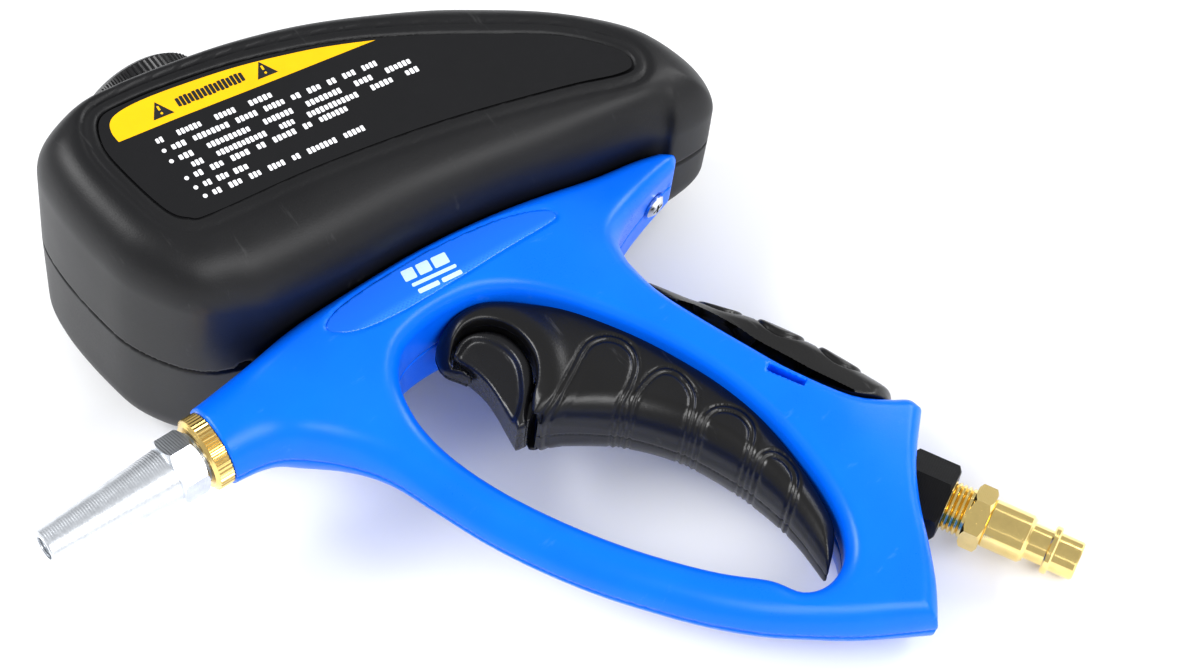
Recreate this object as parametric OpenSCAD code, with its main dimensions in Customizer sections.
// Handheld gravity-feed abrasive blast gun, lying on its side as it rests on a bench.
// Every module is drawn in the gun's own axes and then laid down:
//   X runs along the nozzle's axis, from the nozzle (-X) to the tail (+X)
//   Y lies in the gun's middle plane, towards the hopper
//   Z is square to the middle plane, towards the labelled side
// The gun's own zero is the centre of the knurled lock ring.

/* [Hopper] */
// Half thickness of the hopper at the gun's zero
hopper_half_t = 47; // [44:1:52]
// How much the half thickness falls for each mm towards the tail
hopper_taper = 0.1; // [0:0.02:0.12]
// Radius that rounds the hopper's side faces into its rim
hopper_fillet = 13; // [8:1:14]
// Wall of the moulded hopper halves
hopper_wall = 2.6; // [2:0.1:3.5]

/* [Body] */
// Wall of the moulded body halves
body_wall = 2.6; // [2:0.1:3.5]
// Half thickness of the saddle under the hopper
saddle_half_t = 20; // [18:0.5:22]
// Half thickness of the handle beside the grip
handle_half_t = 18; // [16:0.5:19]
// Half thickness of the handle at its foot
foot_half_t = 9; // [8:0.5:11]
// Half thickness of the finger guard
guard_half_t = 8; // [6:0.5:9]

/* [Filler] */
// Outer radius of the ribbed filler cap
cap_r = 18.5; // [18:0.25:20]
// Number of ribs round the cap
cap_ribs = 72; // [36:1:90]
// Bore of the filler neck
neck_bore_r = 11.5; // [9.5:0.5:12]

/* [Nozzle] */
// Bore of the nozzle
nozzle_bore_r = 3.2; // [2:0.1:3.5]
// Radius of the nozzle at its tip
nozzle_tip_r = 4.9; // [4.5:0.1:6]
// Radius of the nozzle's cone at the hexagon
nozzle_root_r = 7.3; // [6.5:0.1:7.5]
// Outer radius of the knurled lock ring
ring_r = 10.1; // [9:0.1:11]
// Number of knurl teeth on the lock ring
ring_teeth = 48; // [30:1:60]

/* [Air inlet] */
// Outer radius of the G 1/4 inlet thread
inlet_thread_r = 6.58; // [6.5:0.01:6.6]
// Distance across the flats of the inlet adapter
adapter_flats = 18; // [17:0.5:20]
// Bore of the air plug
plug_bore_r = 2.6; // [2:0.1:3]

/* [Grip] */
// Half thickness of the front grip
grip_half_t = 12.5; // [12.25:0.25:14]
// Half thickness of the palm pad
pad_half_t = 11.5; // [10.5:0.5:13]
// Half width of the trigger
trigger_half_w = 9; // [8:0.25:9.25]

/* [Hidden] */
$fn = 64;

// How the gun lies: it rests on the hopper's lower face and the foot of the handle
lay_roll = 8.6;
lay_pitch = 4.8;
lay_shift = [-60.77, 25.67, 42.29];

// Clearances: between fixed pieces, in a running fit, and between moving pieces in air
snug = 0.05;
run = 0.06;
air = 0.3;

// Axes of the gun's parts
cap_x = 43;
neck_r = 14.2;
collar_r = 16.2;
outlet_x = 30;
riser_x = 98;
valve_y = -33;
pivot = [70.5, -18];
inlet_start = [147, -119];
inlet_angle = -61.2;
hopper_screw_at = [138.17, -5.33];
hopper_screw_angle = 105;
screw_places = [[26, -14.5], [41, -29], [71.8, -95.7], [106, -128.3], [108.5, -11], [146.5, -95.5]];

// A smooth open curve through points p, n steps to a span, leaving out the last point
function blend3(a, b, c, d, t) =
    0.5 * (2 * b + (c - a) * t + (2 * a - 5 * b + 4 * c - d) * t * t
    + (3 * b - a - 3 * c + d) * t * t * t);
function curve(p, n = 4) = [
    for (i = [0 : len(p) - 2], k = [0 : n - 1])
        blend3(p[max(i - 1, 0)], p[i], p[i + 1], p[min(i + 2, len(p) - 1)], k / n)];

// Outlines in the middle plane
saddle_top = [[12, 10.9], [31, 11.1], [50, 10.6], [73, 10.5], [93, 8.9], [113, 6.4], [135, 4.3], [145, 2.6]];
tail_end = [[145, 2.6], [148.6, -0.4], [146.2, -3.4]];
tail_under = [[146.2, -3.4], [135, -6.6], [124.6, -10.6], [118.6, -15.1], [116.6, -22]];
back_line = [[116.6, -22], [117.5, -33], [121.7, -46.7], [126.7, -60], [131.7, -71.7], [140, -85], [149, -91.3]];
heel = [[149, -91.3], [153, -93.6], [154.2, -97.3]];
foot_end = [[154.2, -97.3], [145.1, -106.4], [137.8, -116.5], [132.4, -127.7], [127.8, -136.7], [122.4, -144.6]];
guard_outer = [[122.4, -144.6], [106.6, -136.1], [95.5, -128.3], [85.6, -120.5], [75.9, -110.7], [66.8, -99.4],
    [58.2, -87.5], [50.2, -74], [43.5, -60.1], [38.4, -46.3], [33.5, -33], [26, -22.5], [17, -14.5], [12, -11.2]];
body_outline = concat(curve(saddle_top), curve(tail_end), curve(tail_under), curve(back_line), curve(heel),
    curve(foot_end), curve(guard_outer), [[12, -11.2]]);
opening_outline = curve([[47.2, -24], [48.6, -16], [53, -10.4], [60, -8], [69, -7.6], [78, -9.2], [86, -13.6],
    [93, -20.5], [99, -28.5], [105, -38], [110, -48], [114, -58], [116.7, -68], [118.5, -79], [119.2, -90],
    [119, -101], [117, -111], [112.7, -118], [106, -120.6], [99.5, -118.4], [94.6, -111.5], [85.5, -102.5],
    [76.8, -92], [68.8, -80.7], [61.4, -68.2], [54.9, -54.9], [50.2, -42.1], [47.8, -32], [47.2, -24]]);
hopper_outline = curve([[22.5, 14.6], [15, 17.5], [9, 22.5], [4, 30], [0.6, 38], [-0.9, 47], [-1.8, 57], [-1.8, 66],
    [-0.6, 74], [2.8, 79.6], [9.6, 83], [20, 84.7], [35.8, 84.1], [49.2, 83], [61.8, 81.4], [75.4, 78.6], [88.6, 74.4],
    [110.8, 65.6], [124.4, 58.2], [137.4, 49.8], [149.6, 40], [157.4, 32], [162, 24.2], [165, 16], [165.6, 9.6],
    [164.4, 4.4], [162, 2], [157, 1], [149.5, 1.3]], 3);
hopper_seat = [[146, 3], [135, 4.5], [113, 6.6], [93, 9.1], [73, 10.7], [50, 10.8], [31, 12.2], [22.5, 14.6]];
grip_outline = concat(
    curve([[62.3, -13], [64, -9.8], [68.5, -8.6], [78, -9.9], [86, -14.3], [92.5, -21], [98.5, -29], [104.5, -38.5],
        [109.5, -48.5], [113.5, -58.5], [116.2, -68.5], [118, -79.3], [118.6, -90], [118.4, -101], [115.6, -110.8],
        [111.5, -116], [108.6, -116.6]]),
    curve([[108.6, -116.6], [109.4, -104], [108, -92], [104.8, -81], [99.8, -70], [94, -61.5], [87.5, -54.5],
        [78.5, -47.6], [71, -43.9]]),
    curve([[71, -43.9], [69.6, -42.3], [72, -38], [69.5, -28], [64, -21], [62, -17], [62.3, -13]]));
pad_outline = concat(
    curve([[117, -24.5], [121, -27.6], [126.9, -37], [136.8, -52], [143.8, -66.4], [150.4, -81.4], [152.3, -88.6],
        [149.6, -90.9]]),
    curve([[149.6, -90.9], [140.3, -84.7], [132, -71.5], [127, -59.8], [122, -46.5], [117.8, -33], [117, -24.5]]));
trigger_outline = concat(
    curve([[64.5, -42.7], [66.2, -38], [67.9, -32], [68.4, -26], [67.8, -20.5], [65.6, -16]]),
    curve([[65.6, -16], [69.5, -14.2], [74, -14.8], [77.5, -17.5], [79.6, -22], [79.8, -27], [78.4, -32], [75.4, -36.4],
        [71, -39.8], [67, -42.2], [64.5, -42.7]]));
nameplate_outline = concat(
    curve([[39.4, 5], [44.7, 7.4], [57.2, 7.8], [74.2, 7.6], [91.9, 5.7], [102.5, 3], [107.6, 0.2]]),
    curve([[107.6, 0.2], [108.2, -2], [104.8, -3.6], [88.2, -3.8], [69.2, -3.8], [54, -3.4], [43.8, -0.3], [39.4, 3.2],
        [39.4, 5]]));
label_outline = concat(
    curve([[19, 72.6], [14.6, 66], [14, 58], [16.6, 43], [21.5, 36.6], [33, 34.8], [57, 33.2], [92, 28.6], [126, 21.2],
        [143, 16.6]]),
    curve([[143, 16.6], [146.8, 19], [144, 26.5], [133, 37.6], [118, 46.6], [104, 54.4], [88, 62], [74, 66.6],
        [57, 70.4], [40, 72.4], [27, 73], [19, 72.6]]));

// Lays a piece down on the bench
module laid() {
    translate(lay_shift)
        rotate([lay_roll, lay_pitch, 0])
            children();
}

// Turn a shape whose axis is Z onto the gun's X axis, its Y axis, or the inlet's axis
module along_x(x = 0, y = 0) {
    translate([x, y, 0])
        rotate([0, 90, 0])
            children();
}
module along_y(x, y = 0) {
    translate([x, y, 0])
        rotate([-90, 0, 0])
            children();
}
module along_inlet(t = 0) {
    translate([inlet_start.x, inlet_start.y, 0])
        rotate([0, 0, inlet_angle])
            rotate([0, 90, 0])
                translate([0, 0, t])
                    children();
}
module along_hopper_screw(t = 0) {
    translate([hopper_screw_at.x, hopper_screw_at.y, 0])
        rotate([0, 0, hopper_screw_angle])
            rotate([0, 90, 0])
                translate([0, 0, t])
                    children();
}

// A tube along Z from z0 to z1
module tube(r_out, r_in, z0, z1) {
    translate([0, 0, z0])
        difference() {
            cylinder(r = r_out, h = z1 - z0);
            translate([0, 0, -1])
                cylinder(r = r_in, h = z1 - z0 + 2);
        }
}

// A rod along Z from z0 to z1
module rod(r, z0, z1) {
    translate([0, 0, z0])
        cylinder(r = r, h = z1 - z0);
}

// A hexagonal bar along Z with its corners turned down, flats wide across the flats
module hex_bar(flats, z0, z1) {
    corner_r = flats / sqrt(3);
    bevel = corner_r - flats / 2;
    intersection() {
        translate([0, 0, z0])
            cylinder(r = corner_r, h = z1 - z0, $fn = 6);
        rotate_extrude()
            polygon([[0, z0], [flats / 2 + 0.1, z0], [corner_r, z0 + bevel * 0.7],
                [corner_r, z1 - bevel * 0.7], [flats / 2 + 0.1, z1], [0, z1]]);
    }
}

// ---- hopper ----

// One side of the hopper as a solid, its skin moved in by the wall "in"
module hopper_solid(in = 0) {
    r = hopper_fillet;
    hull() {
        linear_extrude(0.02)
            offset(delta = -in)
                polygon(hopper_outline);
        for (a = [0 : 15 : 90])
            rotate([0, atan(hopper_taper), 0])
                translate([0, 0, hopper_half_t - r + (r - in) * sin(a)])
                    linear_extrude(0.02)
                        offset(delta = -in - (r - in) * (1 - cos(a)))
                            polygon(hopper_outline);
    }
}

// Everything under the hopper's seat on the saddle, moved up by "up"
module under_seat(up = 0) {
    translate([0, up, -1])
        linear_extrude(hopper_half_t + 2)
            polygon(concat(curve(hopper_seat), [[22.5, 14.6], [22.5, -20], [146, -20]]));
}

// The upper half of the hopper before the openings that both halves share
module hopper_half() {
    difference() {
        hopper_solid();
        under_seat();
        difference() {
            hopper_solid(hopper_wall);
            under_seat(hopper_wall);
            along_hopper_screw()
                rod(4.6, 6, 22);
        }
        along_y(cap_x)
            rod(neck_r + snug, 70, 90);
        along_y(cap_x)
            rod(collar_r + snug, 80.5, 90);
        along_y(outlet_x)
            rod(6 + snug, 0, 30);
        along_hopper_screw()
            rod(1.9 + snug, 0, 17);
    }
}

module hopper_upper() {
    color("#2b2b2d")
        laid()
            difference() {
                hopper_half();
                label_space(0.02);
            }
}

module hopper_lower() {
    color("#232325")
        laid()
            mirror([0, 0, 1])
                hopper_half();
}

// The recess that the label lies in, and the label itself
module label_space(extra) {
    rotate([0, atan(hopper_taper), 0])
        translate([0, 0, hopper_half_t - 0.6 - extra])
            linear_extrude(2)
                offset(delta = extra)
                    polygon(label_outline);
}

module hopper_label() {
    color("#1c1c1e")
        laid()
            rotate([0, atan(hopper_taper), 0])
                translate([0, 0, hopper_half_t - 0.6])
                    linear_extrude(0.3)
                        polygon(label_outline);
}

module filler_neck() {
    color("#2f2f31")
        laid()
            along_y(cap_x)
                rotate_extrude()
                    difference() {
                        union() {
                            translate([neck_bore_r, 75])
                                square([neck_r - neck_bore_r, 18.6]);
                            translate([neck_bore_r, 80.5 + snug])
                                square([collar_r - neck_bore_r, 4.6]);
                            for (y = [87.4, 89.6, 91.8])
                                translate([neck_r - 0.4, y])
                                    square([1, 1]);
                        }
                        translate([0, 70])
                            square([neck_bore_r, 30]);
                    }
}

module cap_gasket() {
    color("#3a3a3a")
        laid()
            along_y(cap_x)
                tube(14.9, 9, 93.6 + air, 95.3);
}

module filler_cap() {
    skirt_low = 85.9;
    rib = 0.45;
    color("#141414")
        laid()
            along_y(cap_x)
                difference() {
                    union() {
                        translate([0, 0, skirt_low])
                            linear_extrude(11.2)
                                polygon([for (i = [0 : 4 * cap_ribs - 1])
                                    let (r = cap_r - (i % 4 < 2 ? 0 : rib), a = 90 * i / cap_ribs)
                                    r * [cos(a), sin(a)]]);
                        rotate_extrude()
                            polygon([[0, 94], [cap_r - rib, 94], [cap_r - rib, 97.5], [cap_r - 1.7, 98.6], [0, 98.6]]);
                    }
                    rod(15.2, skirt_low - 1, 95.3 + run);
                }
}

module hopper_outlet() {
    color("#3c3c3e")
        laid()
            along_y(outlet_x)
                difference() {
                    union() {
                        rod(6, 6.2, 20);
                        rod(9, 18, 20);
                    }
                    rod(4.5, 5, 21);
                    rotate_extrude()
                        translate([5.2, 8])
                            square([1, 1.6]);
                }
}

module outlet_seal() {
    color("#171717")
        laid()
            along_y(outlet_x)
                tube(6, 5.2 + snug, 8 + snug, 9.6 - snug);
}

module hopper_screw() {
    color("#d8d8da")
        laid()
            along_hopper_screw()
                difference() {
                    union() {
                        rod(1.9, 1, 15);
                        rotate_extrude()
                            polygon([[0, -2], [2.2, -2], [3.4, -1.1], [3.4, 1], [0, 1]]);
                    }
                    for (a = [0, 90])
                        rotate(a)
                            translate([-1.9, -0.4, -3])
                                cube([3.8, 0.8, 2.2]);
                }
}

// ---- body ----

// How far the body's skin stands off the middle plane, everywhere, brought in by "in"
module body_envelope(in = 0) {
    along_x()
        rotate_extrude()
            polygon([[0, 2.6], [9.8 - in, 2.6], [11.2 - in, 13], [saddle_half_t - 1 - in, 46.5], [0, 46.5]]);
    translate([0, 0, -in]) {
        translate([0, 14, 0])
            rotate([90, 0, 0])
                linear_extrude(28.5)
                    polygon([[46, -20], [46, saddle_half_t - 1], [52, saddle_half_t], [108, saddle_half_t], [124, 12.5],
                        [151, 10], [151, -20]]);
        translate([92, 0, 0])
            rotate([90, 0, 90])
                linear_extrude(64)
                    polygon([[-13, -20], [-13, saddle_half_t - 1], [-60, handle_half_t], [-98, 15],
                        [-122, 13], [-145, foot_half_t], [-145, -20]]);
        translate([12, -150, -20])
            cube([80.5, 141, 20 + guard_half_t]);
        translate([12, -12, -20])
            cube([80.5, 12, 20 + guard_half_t]);
    }
}

module body_face() {
    difference() {
        polygon(body_outline);
        polygon(opening_outline);
    }
}

// The hollow inside the saddle and the handle
module body_pocket() {
    intersection() {
        translate([0, 0, -1])
            linear_extrude(40)
                intersection() {
                    offset(delta = -body_wall)
                        body_face();
                    polygon([[55, 20], [132, 20], [132, -30], [160, -60], [128, -84], [112, -84], [92, -40],
                        [84, -14], [55, -14]]);
                }
        body_envelope(body_wall);
    }
}

// The space that the air path takes out of the body and the grip
module air_path_space() {
    along_x()
        rod(7.6 + snug, 2, 46.2);
    along_x()
        rod(7.6, 46, 55.6);
    along_x()
        rod(3 + snug, 50, 99);
    along_x()
        rod(5.5 + snug, 91, 98);
    along_y(outlet_x)
        rod(8.5 + snug, 0, 9.8);
    along_y(outlet_x)
        rod(6 + snug, 5, 15);
    translate([riser_x, 0, 0])
        sphere(5.5 + snug);
    along_y(riser_x)
        rod(5.5 + snug, -9, 0);
    along_y(riser_x)
        rod(5 + snug, -30, -9);
    along_x(0, valve_y)
        rod(7.5 + snug, 83.5, 115);
    along_inlet()
        rod(5.5 + snug, -102, -83.5);
    along_inlet()
        rod(4 + snug, -95, -25);
    along_inlet()
        rod(8.5 + snug, -30.2, -11);
    along_inlet()
        rod(adapter_flats / sqrt(3) + snug, -13.2, 1);
}

module body_half() {
    difference() {
        union() {
            intersection() {
                linear_extrude(30)
                    body_face();
                body_envelope();
            }
            intersection() {
                along_x()
                    rotate_extrude()
                        polygon([[0, 2.6], [9.8, 2.6], [11.2, 13], [0, 13]]);
                translate([0, -20, 0])
                    cube([20, 40, 20]);
            }
        }
        difference() {
            body_pocket();
            for (p = screw_places)
                translate([p.x, p.y, 0])
                    rod(3.4, -1, 30);
        }
        air_path_space();
        along_hopper_screw()
            rod(1.9 + snug, -3, 20);
        along_hopper_screw()
            rod(4, -12, 1 + snug);
        for (p = screw_places)
            translate([p.x, p.y, 0])
                rod(1.4 + snug, -1, 5.5 + snug);
    }
}

module body_upper() {
    color("#0a6ff0")
        laid()
            difference() {
                body_half();
                translate([0, 0, saddle_half_t - 0.6])
                    linear_extrude(2)
                        polygon(nameplate_outline);
                handle_slot();
            }
}

// The narrow slot through the handle's side
module handle_slot() {
    translate([128.5, -72, 5])
        rotate(-56)
            translate([-5.2, -1.1, 0])
                cube([10.4, 2.2, 20]);
}

module body_lower() {
    color("#0a63dc")
        laid()
            mirror([0, 0, 1])
                difference() {
                    body_half();
                    for (p = screw_places)
                        translate([p.x, p.y, 0]) {
                            rod(1.4 + snug, -1, 30);
                            rod(2.9, 3.4, 30);
                        }
                }
}

module nameplate() {
    color("#1478ff")
        laid()
            translate([0, 0, saddle_half_t - 0.6])
                linear_extrude(0.3)
                    offset(delta = -0.05)
                        polygon(nameplate_outline);
}

module body_screws() {
    color("#b9bbbe")
        laid()
            for (p = screw_places)
                translate([p.x, p.y, 0])
                    difference() {
                        union() {
                            rod(1.4, -3.4, 5.5);
                            rod(2.6, -5.4, -3.4);
                        }
                        for (a = [0, 90])
                            rotate(a)
                                translate([-1.5, -0.3, -6])
                                    cube([3, 0.6, 1.6]);
                    }
}

// ---- grip, pad and trigger ----

// The space inside the grip that the trigger swings through
module trigger_space() {
    linear_extrude(2 * (trigger_half_w + 0.5), center = true)
        offset(delta = 0.6)
            for (a = [0 : 3 : 9])
                translate(pivot)
                    rotate(a)
                        translate(-pivot)
                            polygon(trigger_outline);
    linear_extrude(60, center = true)
        offset(delta = 0.8)
            polygon(trigger_outline);
}

module grip() {
    color("#1b1b1c")
        laid()
            difference() {
                linear_extrude(2 * grip_half_t, center = true)
                    intersection() {
                        polygon(grip_outline);
                        offset(delta = -0.1)
                            polygon(opening_outline);
                    }
                trigger_space();
                air_path_space();
                along_x(0, valve_y)
                    rod(2.6, 70, 90);
                translate([pivot.x, pivot.y, 0])
                    rod(1.5 + snug, -11.1, 11.1);
            }
}

module palm_pad() {
    color("#222223")
        laid()
            linear_extrude(2 * pad_half_t, center = true)
                difference() {
                    polygon(pad_outline);
                    offset(delta = 0.05)
                        polygon(body_outline);
                }
}

module trigger() {
    color("#161617")
        laid()
            difference() {
                linear_extrude(2 * trigger_half_w, center = true)
                    polygon(trigger_outline);
                translate([pivot.x, pivot.y, 0])
                    rod(1.5 + run, -20, 20);
            }
}

module trigger_pin() {
    color("#a9abad")
        laid()
            translate([pivot.x, pivot.y, 0])
                rod(1.5, -11, 11);
}

// ---- air path ----

module mixing_chamber() {
    color("#b9bcc0")
        laid()
            difference() {
                union() {
                    along_x()
                        rod(7, -2.2, 4);
                    along_x()
                        rod(7.6, 3, 46);
                    along_y(outlet_x)
                        rod(8.5, 0, 9.6);
                }
                along_x()
                    rod(5 + run, -3, 13.4);
                along_x()
                    rod(5, 13, 38);
                along_x()
                    rod(3 + snug, 37, 47);
                along_y(outlet_x)
                    rod(6 + snug, 6.1, 12);
                along_y(outlet_x)
                    rod(4.5, 0, 8);
            }
}

module air_jet() {
    color("#c9a24a")
        laid()
            along_x()
                rotate_extrude()
                    polygon([[1, 26], [1.8, 26], [3, 30], [3, 46], [2, 46], [2, 32], [1, 30]]);
}

module tube_nut() {
    color("#c9a24a")
        laid()
            along_x()
                difference() {
                    hex_bar(13, 46.3, 55);
                    rod(3 + snug, 46, 56);
                }
}

module air_tube() {
    color("#c2c5c8")
        laid()
            along_x()
                tube(3, 2, 46.1, 95.5);
}

module elbow() {
    color("#c9a24a")
        laid()
            difference() {
                union() {
                    along_x()
                        rod(5.5, 91, riser_x);
                    along_y(riser_x)
                        rod(5.5, -8.5, 0);
                    translate([riser_x, 0, 0])
                        sphere(5.5);
                }
                along_x()
                    rod(3 + snug, 90, 95.6);
                along_x()
                    rod(2, 90, riser_x);
                along_y(riser_x)
                    rod(3 + snug, -10, -4);
                along_y(riser_x)
                    rod(2, -10, 0);
            }
}

module riser_tube() {
    color("#c2c5c8")
        laid()
            along_y(riser_x)
                tube(3, 2, -26.9, -4.1);
}

module valve_body() {
    color("#c9a24a")
        laid()
            difference() {
                union() {
                    along_x(0, valve_y)
                        rod(7.5, 84, 111.5);
                    along_y(riser_x)
                        rod(5, -29, -22);
                    along_inlet()
                        rod(5.5, -97, -84);
                }
                along_x(0, valve_y)
                    rod(2 + run, 83, 90);
                along_x(0, valve_y)
                    rod(3.4 + run, 89, 101);
                along_x(0, valve_y)
                    rod(6, 100.5, 112);
                along_y(riser_x)
                    rod(3 + snug, -26.95, -20);
                along_y(riser_x)
                    rod(2, -32, -20);
                along_inlet()
                    rod(4 + snug, -88.05, -83);
                along_inlet()
                    rod(2.4, -98, -90);
            }
}

module valve_stem() {
    color("#d5d7d9")
        laid()
            along_x(0, valve_y)
                rotate_extrude()
                    polygon([[0, 79.3], [1.6, 79.3], [2, 79.7], [2, 90.5], [3.4, 90.5], [3.4, 91.6], [2.6, 91.6],
                        [2.6, 93.2], [3.4, 93.2], [3.4, 94.3], [1.4, 94.3], [1.4, 101.3], [5, 101.3], [5, 103.6],
                        [2.4, 103.6], [2.4, 106], [0, 106]]);
}

module stem_seal() {
    color("#171717")
        laid()
            along_x(0, valve_y)
                tube(3.4, 2.65, 91.65, 93.15);
}

module poppet_seal() {
    color("#171717")
        laid()
            along_x(0, valve_y)
                tube(4.9, 1.45, 100.8, 101.25);
}

// A coil spring: a round wire swept along a helix
spring_turns = 5;
spring_steps = 14;
spring_wire_r = 0.45;
spring_r = 4;
spring_from = 104.15;
spring_to = 110.95;
function spring_point(s, k) =
    let (turn = 360 * s / spring_steps, wire = 45 * k, rise = (spring_to - spring_from) / (spring_turns * spring_steps),
        r = spring_r + spring_wire_r * cos(wire))
    [r * cos(turn), r * sin(turn), spring_from + s * rise + spring_wire_r * sin(wire)];

module valve_spring() {
    last = spring_turns * spring_steps;
    color("#9fa2a5")
        laid()
            along_x(0, valve_y)
                polyhedron(
                    points = [for (s = [0 : last], k = [0 : 7]) spring_point(s, k)],
                    faces = concat(
                        [[for (k = [0 : 7]) k]],
                        [for (s = [0 : last - 1], k = [0 : 7])
                            [8 * s + k, 8 * s + 8 + k, 8 * s + 8 + (k + 1) % 8, 8 * s + (k + 1) % 8]],
                        [[for (k = [7 : -1 : 0]) 8 * last + k]]));
}

module valve_cap() {
    color("#c9a24a")
        laid()
            along_x(0, valve_y)
                hex_bar(13, 111.55, 114.4);
}

module handle_tube() {
    color("#c2c5c8")
        laid()
            along_inlet()
                tube(4, 2.4, -88, -20.1);
}

module inlet_adapter() {
    color("#1a1a1b")
        laid()
            along_inlet()
                difference() {
                    union() {
                        rod(8.5, -30, -12.9);
                        hex_bar(adapter_flats, -13, 0);
                    }
                    rod(4 + snug, -31, -20);
                    rod(2.8, -31, 0);
                    rod(inlet_thread_r + snug, -11.2, 1);
                }
}

module plug_seal() {
    color("#e8e8e8")
        laid()
            along_inlet()
                tube(6.4, 3, -11.15, -10.05);
}

module air_plug() {
    color("#d9a93c")
        laid()
            along_inlet()
                difference() {
                    union() {
                        rod(inlet_thread_r, -10, 5.9);
                        hex_bar(15, 5.8, 11.1);
                        rotate_extrude()
                            polygon([[0, 11], [6.1, 11], [6.45, 11.5], [6.45, 21.6], [5.6, 22.6], [4.8, 22.6],
                                [4.8, 27.7], [6.1, 27.7], [6.5, 28.1], [6.5, 29.2], [6.1, 29.6], [5.2, 29.6],
                                [5.2, 35.6], [4.8, 36.1], [0, 36.1]]);
                    }
                    rod(plug_bore_r, -11, 37);
                    for (z = [-9.2 : 1.337 : 5])
                        rotate_extrude()
                            polygon([[inlet_thread_r - 0.7, z + 0.45], [inlet_thread_r + 0.1, z],
                                [inlet_thread_r + 0.1, z + 0.9]]);
                }
}

// ---- nozzle ----

module lock_ring() {
    tooth = 0.35;
    color("#d9a93c")
        laid()
            along_x()
                difference() {
                    union() {
                        translate([0, 0, -1.6])
                            linear_extrude(4)
                                polygon([for (i = [0 : 4 * ring_teeth - 1])
                                    let (r = ring_r - (i % 4 < 2 ? 0 : tooth), a = 90 * i / ring_teeth)
                                    r * [cos(a), sin(a)]]);
                        rotate_extrude()
                            polygon([[0, -2.5], [ring_r - 1.3, -2.5], [ring_r - tooth, -1.6],
                                [ring_r - tooth, 2.3], [0, 2.3]]);
                    }
                    rod(7 + run, -4, 4);
                }
}

module nozzle_seal() {
    color("#171717")
        laid()
            along_x()
                tube(5, 4.35, 7.25, 8.75);
}

module nozzle() {
    color("#c8ccd0")
        laid()
            along_x()
                difference() {
                    union() {
                        rotate_extrude()
                            polygon([[0, -47.6], [nozzle_tip_r - 0.3, -47.6], [nozzle_tip_r, -47.3],
                                [nozzle_root_r, -12], [nozzle_root_r, -10], [0, -10]]);
                        hex_bar(15.6, -11, -3.4);
                        rotate_extrude()
                            polygon([[0, -4], [5, -4], [5, 7.2], [4.3, 7.2], [4.3, 8.8], [5, 8.8], [5, 11], [4.6, 11.5],
                                [0, 11.5]]);
                    }
                    rod(nozzle_bore_r, -50, 12);
                }
}

hopper_upper();
hopper_lower();
hopper_label();
filler_neck();
cap_gasket();
filler_cap();
hopper_outlet();
outlet_seal();
hopper_screw();
body_upper();
body_lower();
nameplate();
body_screws();
grip();
palm_pad();
trigger();
trigger_pin();
mixing_chamber();
air_jet();
tube_nut();
air_tube();
elbow();
riser_tube();
valve_body();
valve_stem();
stem_seal();
poppet_seal();
valve_spring();
valve_cap();
handle_tube();
inlet_adapter();
plug_seal();
air_plug();
lock_ring();
nozzle_seal();
nozzle();
